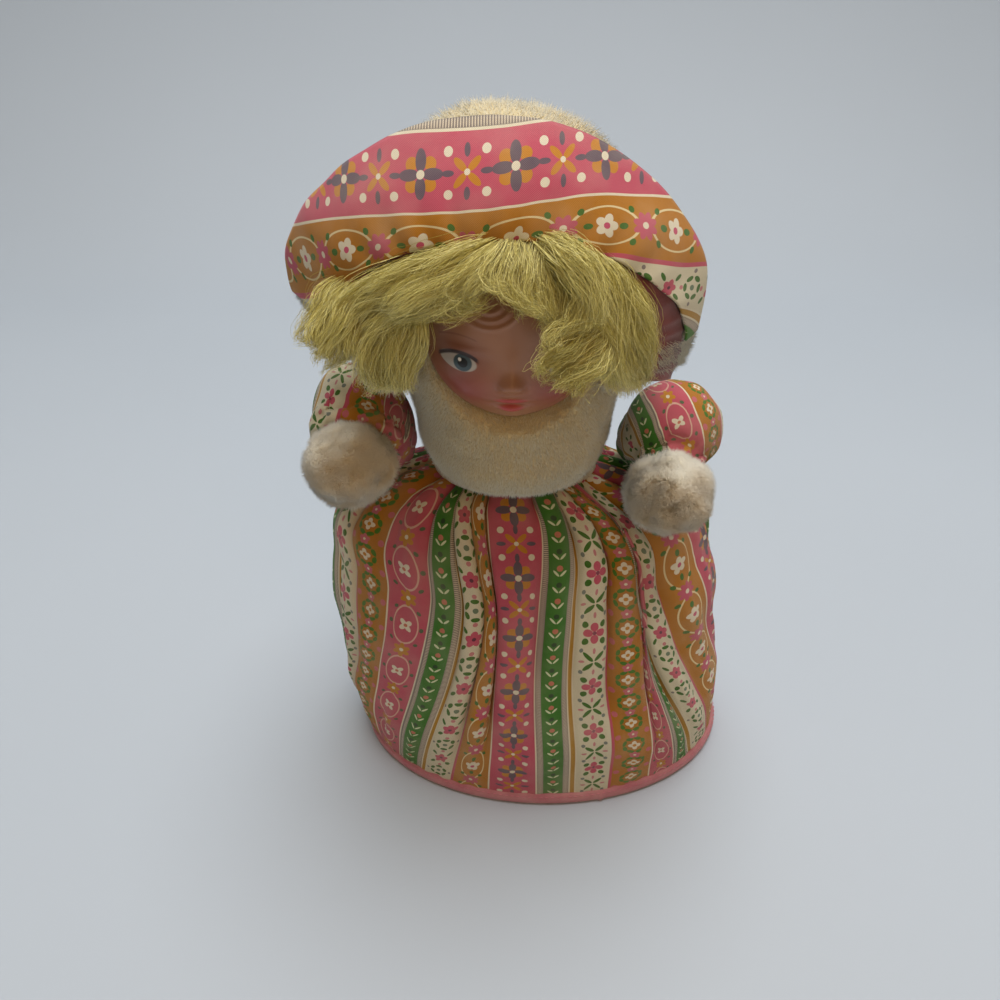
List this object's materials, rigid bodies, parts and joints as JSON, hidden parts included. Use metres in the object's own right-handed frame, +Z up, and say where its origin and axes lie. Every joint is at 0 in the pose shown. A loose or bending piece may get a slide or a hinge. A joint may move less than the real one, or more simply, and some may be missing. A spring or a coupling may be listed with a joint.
{
  "type": "cloth doll",
  "caption": "Stuffed cloth doll on a flat oval base: wide printed skirt, puffed sleeves with plush mitts, moulded face, curls and a hat with a turned-up printed brim.",
  "frame": {"origin": "middle of the flat oval base, on the surface that the doll stands on", "axes": "+Z up through the doll to its hat, the doll faces -Y, its own left is towards +X"},
  "size_m": [0.2088, 0.1495, 0.3185],
  "materials": {
    "print": "matte",
    "pink_cotton": "matte",
    "lining": "matte",
    "plush": "matte",
    "hair": "satin",
    "vinyl": "satin",
    "board": "matte",
    "stuffing": "matte",
    "cord": "matte"
  },
  "bodies": {
    "body": {"body_stuffing": "stuffing", "skirt": "print", "base_cover": "pink_cotton", "base_board": "board", "hem_band": "pink_cotton", "neck_cord": "cord"},
    "head": {"head_stuffing": "stuffing", "head_plush": "plush", "face_mask": "vinyl", "hat_crown": "plush", "brim_facing": "print", "brim_plush": "plush", "hat_lining": "lining", "hair_fringe": "hair", "hair_right_side": "hair", "hair_left_side": "hair", "hair_front_curl": "hair"},
    "right_arm": {"right_arm_stuffing": "stuffing", "right_sleeve": "print", "right_mitt": "plush"},
    "left_arm": {"left_arm_stuffing": "stuffing", "left_sleeve": "print", "left_mitt": "plush"}
  },
  "joints": [
    {"name": "head_nod", "type": "hinge", "parent": "body", "child": "head", "pos_m": [-0.017, -0.004, 0.176], "axis": [1, 0, 0], "range_deg": [-8, 8], "stiffness_Nm_per_rad": 1.5},
    {"name": "right_shoulder", "type": "hinge", "parent": "body", "child": "right_arm", "pos_m": [-0.07898, 0, 0.18017], "axis": [-1, 0, 0], "range_deg": [-20, 25], "stiffness_Nm_per_rad": 0.3},
    {"name": "left_shoulder", "type": "hinge", "parent": "body", "child": "left_arm", "pos_m": [0.04514, 0, 0.18039], "axis": [-1, 0, 0], "range_deg": [-20, 25], "stiffness_Nm_per_rad": 0.3}
  ]
}
